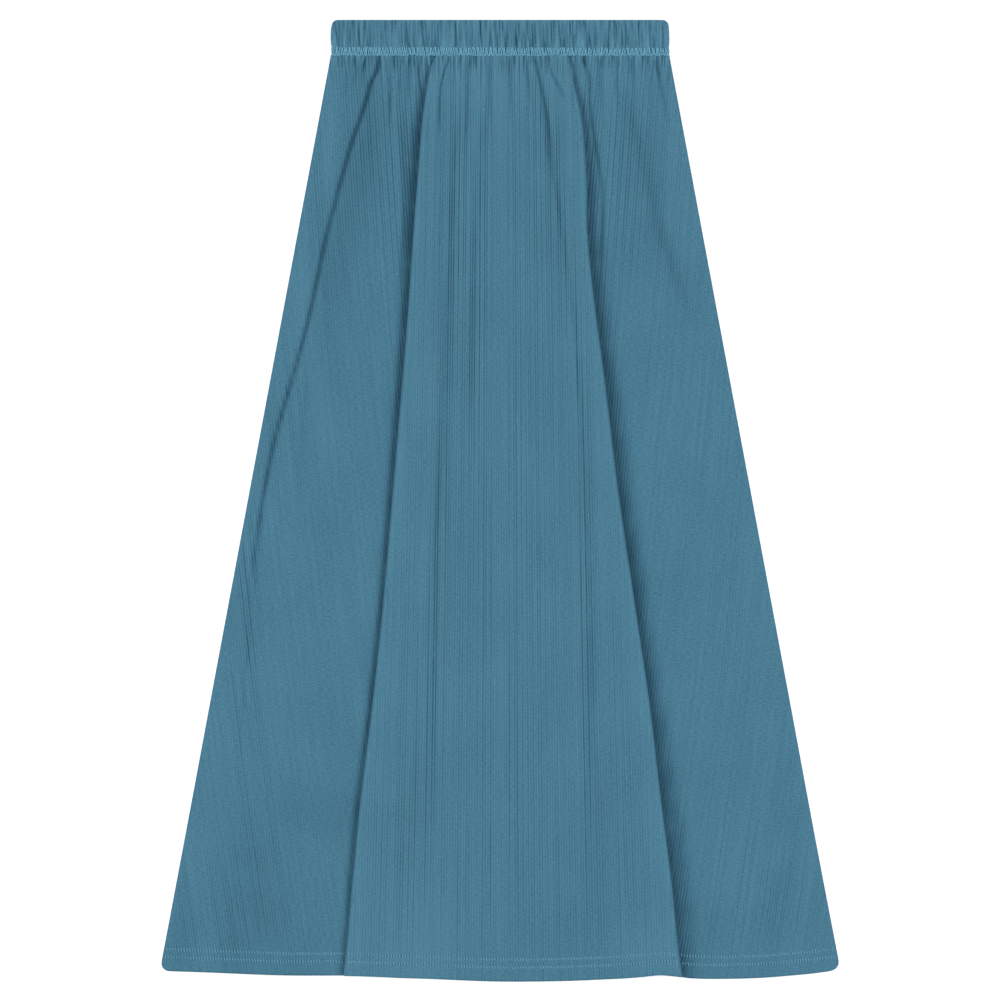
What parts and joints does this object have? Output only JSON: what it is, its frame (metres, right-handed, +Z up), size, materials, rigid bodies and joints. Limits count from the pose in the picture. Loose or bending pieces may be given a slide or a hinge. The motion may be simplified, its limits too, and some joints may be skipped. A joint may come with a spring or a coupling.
{
  "type": "a-line skirt",
  "caption": "Long a-line skirt in rib jersey with a gathered elastic waistband, laid flat with soft folds down the front.",
  "frame": {"origin": "middle of the laid skirt's bounding box, on the surface it lies on", "axes": "+Z up out of the front panel, +Y from the hem to the waist, +X to the viewer's right as the front is looked at"},
  "size_m": [0.4736, 0.6734, 0.0091],
  "materials": {
    "rib_jersey": "matt",
    "rib_jersey_back": "matt",
    "waistband_jersey": "matt"
  },
  "bodies": {
    "root": {"front_panel": "rib_jersey", "back_panel": "rib_jersey_back", "waistband": "waistband_jersey"}
  },
  "joints": []
}
